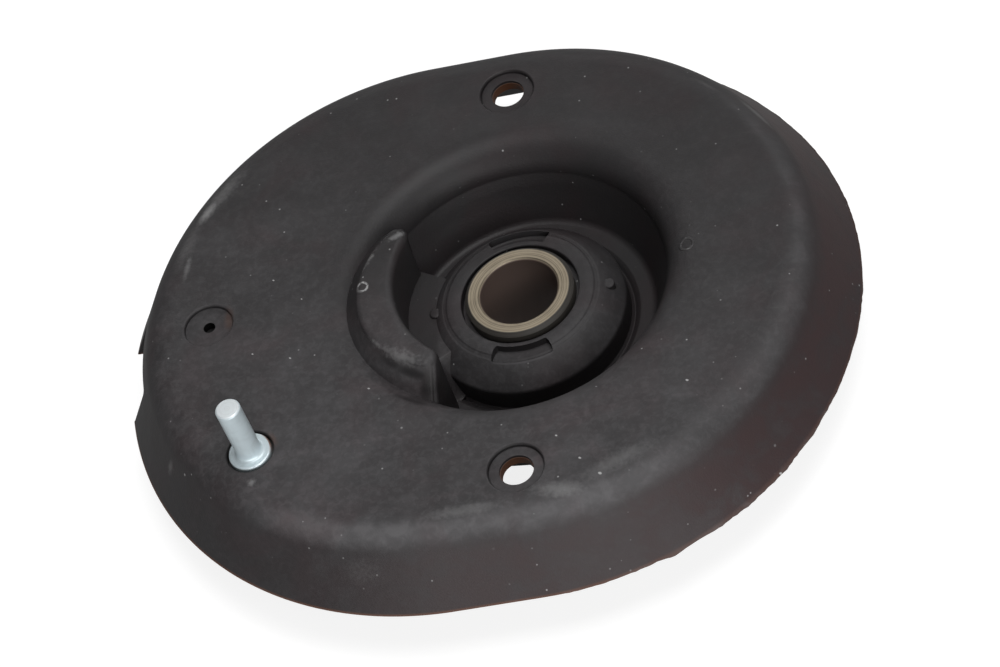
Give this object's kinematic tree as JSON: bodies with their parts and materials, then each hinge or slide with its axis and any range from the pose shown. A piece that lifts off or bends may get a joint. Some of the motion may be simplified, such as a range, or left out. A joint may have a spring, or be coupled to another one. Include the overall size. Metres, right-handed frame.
{
  "type": "strut mount",
  "caption": "Oval strut top mount: pressed steel plate skinned in rubber, bonded centre bush with steel sleeve in a round well, bolt holes, crescent stop and upright locating stud.",
  "frame": {"origin": "centre of the sleeve's bore on the bearing seat under the dish", "axes": "+Z along the bore, up towards the strut tower; +X along the oval's long axis, away from the locating stud"},
  "size_m": [0.2092, 0.1874, 0.0584],
  "materials": {
    "rubber": "matt, dusty",
    "pressed_steel": "satin black coat, light rust at cut edges",
    "sleeve_steel": "turned",
    "zinc_steel": "zinc plated, turned end"
  },
  "bodies": {
    "root": {"rubber_body": "rubber", "carrier_plate": "pressed_steel", "inner_sleeve": "sleeve_steel", "armature_dish": "pressed_steel", "locating_stud": "zinc_steel"}
  },
  "joints": []
}
